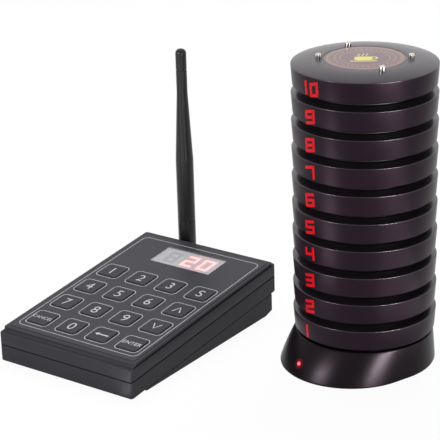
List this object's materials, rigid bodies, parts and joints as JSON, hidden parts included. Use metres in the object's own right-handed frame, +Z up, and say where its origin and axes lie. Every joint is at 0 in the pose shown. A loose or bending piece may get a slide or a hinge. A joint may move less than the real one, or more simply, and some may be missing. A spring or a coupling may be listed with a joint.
{
  "type": "guest pager system",
  "caption": "Keypad with a digit display and folding antenna that calls a stack of round coaster pagers standing on a charging base.",
  "frame": {"origin": "axis of the charging base and of the pager stack, on the counter", "axes": "+X to the right along the keypad's width, +Y to the rear, +Z up"},
  "size_m": [0.2504, 0.1875, 0.2107],
  "materials": {
    "charcoal_case": "fine-textured charcoal moulding",
    "overlay_film": "printed charcoal film with silver lines",
    "smoked_lens": "smoked grey window",
    "display_block": "three digit light display",
    "key_rubber": "satin charcoal cap with a pale legend",
    "base_plastic": "polished dark moulding",
    "pager_case": "dark satin top over a smoked aubergine rim",
    "label_film": "mauve-brown film with a golden print",
    "pager_works": "circuit board with battery, motor and lamp block",
    "circuit_board": "green laminate",
    "contact_metal": "gold plated pins",
    "switch_plastic": "black push switches",
    "jack_plastic": "black connector",
    "foot_rubber": "soft black rubber",
    "screw_steel": "zinc plated",
    "socket_metal": "nickel plated socket and nut",
    "antenna_black": "black satin moulding",
    "red_lamp": "red light pipe"
  },
  "bodies": {
    "charger": {"charger_housing": "base_plastic", "charger_bottom_plate": "base_plastic", "charger_board": "circuit_board", "charger_contacts": "contact_metal", "charger_status_lamp": "red_lamp", "charger_power_jack": "jack_plastic", "charger_rubber_pad": "foot_rubber"},
    "keypad": {"keypad_top_cover": "charcoal_case", "keypad_bottom_cover": "charcoal_case", "keypad_power_jack": "jack_plastic", "keypad_stand": "charcoal_case", "keypad_feet": "foot_rubber", "keypad_screws": "screw_steel", "keypad_overlay": "overlay_film", "display_lens": "smoked_lens", "display_module": "display_block", "keypad_board": "circuit_board", "key_switches": "switch_plastic", "antenna_socket": "socket_metal"},
    "key_cancel_cap": {"key_cancel": "key_rubber"},
    "key_0_cap": {"key_0": "key_rubber"},
    "key_arrow_cap": {"key_arrow": "key_rubber"},
    "key_enter_cap": {"key_enter": "key_rubber"},
    "key_7_cap": {"key_7": "key_rubber"},
    "key_8_cap": {"key_8": "key_rubber"},
    "key_9_cap": {"key_9": "key_rubber"},
    "key_down_cap": {"key_down": "key_rubber"},
    "key_4_cap": {"key_4": "key_rubber"},
    "key_5_cap": {"key_5": "key_rubber"},
    "key_6_cap": {"key_6": "key_rubber"},
    "key_up_cap": {"key_up": "key_rubber"},
    "key_1_cap": {"key_1": "key_rubber"},
    "key_2_cap": {"key_2": "key_rubber"},
    "key_3_cap": {"key_3": "key_rubber"},
    "key_s_cap": {"key_s": "key_rubber"},
    "antenna_fork": {"antenna_knuckle": "antenna_black", "antenna_hinge_pin": "screw_steel"},
    "antenna_whip_body": {"antenna_whip": "antenna_black"},
    "pager_01": {"pager_01_case": "pager_case", "pager_01_works": "pager_works"},
    "pager_02": {"pager_02_case": "pager_case", "pager_02_works": "pager_works"},
    "pager_03": {"pager_03_case": "pager_case", "pager_03_works": "pager_works"},
    "pager_04": {"pager_04_case": "pager_case", "pager_04_works": "pager_works"},
    "pager_05": {"pager_05_case": "pager_case", "pager_05_works": "pager_works"},
    "pager_06": {"pager_06_case": "pager_case", "pager_06_works": "pager_works"},
    "pager_07": {"pager_07_case": "pager_case", "pager_07_works": "pager_works"},
    "pager_08": {"pager_08_case": "pager_case", "pager_08_works": "pager_works"},
    "pager_09": {"pager_09_case": "pager_case", "pager_09_works": "pager_works"},
    "pager_10": {"pager_10_top_shell": "pager_case", "pager_10_bottom_shell": "pager_case", "pager_10_label": "label_film", "pager_10_works": "pager_works"}
  },
  "joints": [
    {"name": "keypad_slide", "type": "slide", "parent": "charger", "child": "keypad", "axis": [-1, 0, 0], "range_m": [0, 0.15]},
    {"name": "press_cancel", "type": "slide", "parent": "keypad", "child": "key_cancel_cap", "axis": [0, 0.0924, -0.9957], "range_m": [0, 0.0008], "stiffness_N_per_m": 1500},
    {"name": "press_0", "type": "slide", "parent": "keypad", "child": "key_0_cap", "axis": [0, 0.0924, -0.9957], "range_m": [0, 0.0008], "stiffness_N_per_m": 1500},
    {"name": "press_arrow", "type": "slide", "parent": "keypad", "child": "key_arrow_cap", "axis": [0, 0.0924, -0.9957], "range_m": [0, 0.0008], "stiffness_N_per_m": 1500},
    {"name": "press_enter", "type": "slide", "parent": "keypad", "child": "key_enter_cap", "axis": [0, 0.0924, -0.9957], "range_m": [0, 0.0008], "stiffness_N_per_m": 1500},
    {"name": "press_7", "type": "slide", "parent": "keypad", "child": "key_7_cap", "axis": [0, 0.0924, -0.9957], "range_m": [0, 0.0008], "stiffness_N_per_m": 1500},
    {"name": "press_8", "type": "slide", "parent": "keypad", "child": "key_8_cap", "axis": [0, 0.0924, -0.9957], "range_m": [0, 0.0008], "stiffness_N_per_m": 1500},
    {"name": "press_9", "type": "slide", "parent": "keypad", "child": "key_9_cap", "axis": [0, 0.0924, -0.9957], "range_m": [0, 0.0008], "stiffness_N_per_m": 1500},
    {"name": "press_down", "type": "slide", "parent": "keypad", "child": "key_down_cap", "axis": [0, 0.0924, -0.9957], "range_m": [0, 0.0008], "stiffness_N_per_m": 1500},
    {"name": "press_4", "type": "slide", "parent": "keypad", "child": "key_4_cap", "axis": [0, 0.0924, -0.9957], "range_m": [0, 0.0008], "stiffness_N_per_m": 1500},
    {"name": "press_5", "type": "slide", "parent": "keypad", "child": "key_5_cap", "axis": [0, 0.0924, -0.9957], "range_m": [0, 0.0008], "stiffness_N_per_m": 1500},
    {"name": "press_6", "type": "slide", "parent": "keypad", "child": "key_6_cap", "axis": [0, 0.0924, -0.9957], "range_m": [0, 0.0008], "stiffness_N_per_m": 1500},
    {"name": "press_up", "type": "slide", "parent": "keypad", "child": "key_up_cap", "axis": [0, 0.0924, -0.9957], "range_m": [0, 0.0008], "stiffness_N_per_m": 1500},
    {"name": "press_1", "type": "slide", "parent": "keypad", "child": "key_1_cap", "axis": [0, 0.0924, -0.9957], "range_m": [0, 0.0008], "stiffness_N_per_m": 1500},
    {"name": "press_2", "type": "slide", "parent": "keypad", "child": "key_2_cap", "axis": [0, 0.0924, -0.9957], "range_m": [0, 0.0008], "stiffness_N_per_m": 1500},
    {"name": "press_3", "type": "slide", "parent": "keypad", "child": "key_3_cap", "axis": [0, 0.0924, -0.9957], "range_m": [0, 0.0008], "stiffness_N_per_m": 1500},
    {"name": "press_s", "type": "slide", "parent": "keypad", "child": "key_s_cap", "axis": [0, 0.0924, -0.9957], "range_m": [0, 0.0008], "stiffness_N_per_m": 1500},
    {"name": "antenna_swivel", "type": "hinge", "parent": "keypad", "child": "antenna_fork", "pos_m": [-0.1762, 0.02717, 0.02314], "axis": [0, 1, 0], "range_deg": [-90, 60]},
    {"name": "antenna_tilt", "type": "hinge", "parent": "antenna_fork", "child": "antenna_whip_body", "pos_m": [-0.1762, 0.03917, 0.02314], "axis": [-1, 0, 0], "range_deg": [0, 90]},
    {"name": "pager_01_lift", "type": "slide", "parent": "charger", "child": "pager_01", "axis": [0, 0, 1], "range_m": [0, 0.035]},
    {"name": "pager_02_lift", "type": "slide", "parent": "pager_01", "child": "pager_02", "axis": [0, 0, 1], "range_m": [0, 0.035]},
    {"name": "pager_03_lift", "type": "slide", "parent": "pager_02", "child": "pager_03", "axis": [0, 0, 1], "range_m": [0, 0.035]},
    {"name": "pager_04_lift", "type": "slide", "parent": "pager_03", "child": "pager_04", "axis": [0, 0, 1], "range_m": [0, 0.035]},
    {"name": "pager_05_lift", "type": "slide", "parent": "pager_04", "child": "pager_05", "axis": [0, 0, 1], "range_m": [0, 0.035]},
    {"name": "pager_06_lift", "type": "slide", "parent": "pager_05", "child": "pager_06", "axis": [0, 0, 1], "range_m": [0, 0.035]},
    {"name": "pager_07_lift", "type": "slide", "parent": "pager_06", "child": "pager_07", "axis": [0, 0, 1], "range_m": [0, 0.035]},
    {"name": "pager_08_lift", "type": "slide", "parent": "pager_07", "child": "pager_08", "axis": [0, 0, 1], "range_m": [0, 0.035]},
    {"name": "pager_09_lift", "type": "slide", "parent": "pager_08", "child": "pager_09", "axis": [0, 0, 1], "range_m": [0, 0.035]},
    {"name": "pager_10_lift", "type": "slide", "parent": "pager_09", "child": "pager_10", "axis": [0, 0, 1], "range_m": [0, 0.035]}
  ]
}
